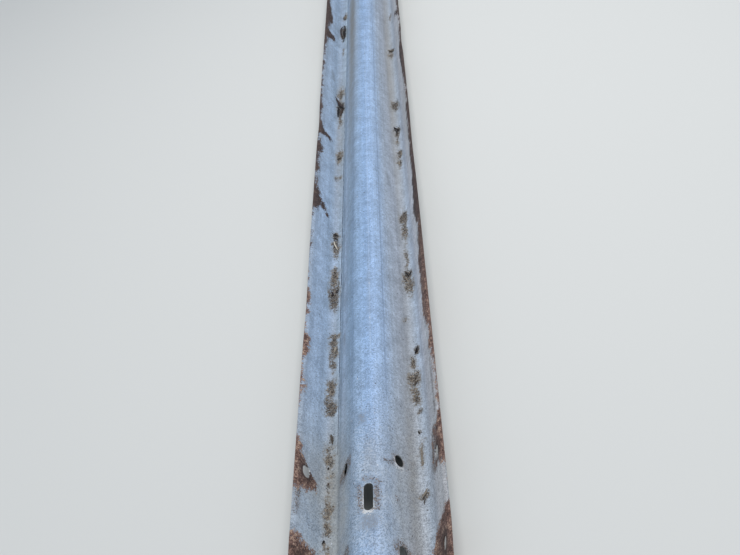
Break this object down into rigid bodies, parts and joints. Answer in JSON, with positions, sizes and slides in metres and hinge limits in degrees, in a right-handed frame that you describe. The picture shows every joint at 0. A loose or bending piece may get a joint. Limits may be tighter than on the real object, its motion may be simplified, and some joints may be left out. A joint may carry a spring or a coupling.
{
  "type": "W-beam highway guardrail section",
  "caption": "Galvanised W-beam highway guardrail section, a roll-formed steel sheet lying back side up, with splice holes and a post bolt slot at either end.",
  "frame": {"origin": "middle of the section's length and width, on the ground plane its two humps touch", "axes": "+Y along the rail, +Z out of the back of the ridge, which faces up, +X across the rail"},
  "size_m": [0.312, 4.128, 0.083],
  "materials": {
    "galvanised_steel": "weathered hot-dip galvanising, matt, with rust along the edges"
  },
  "bodies": {
    "root": {"w_beam_rail": "galvanised_steel"}
  },
  "joints": []
}
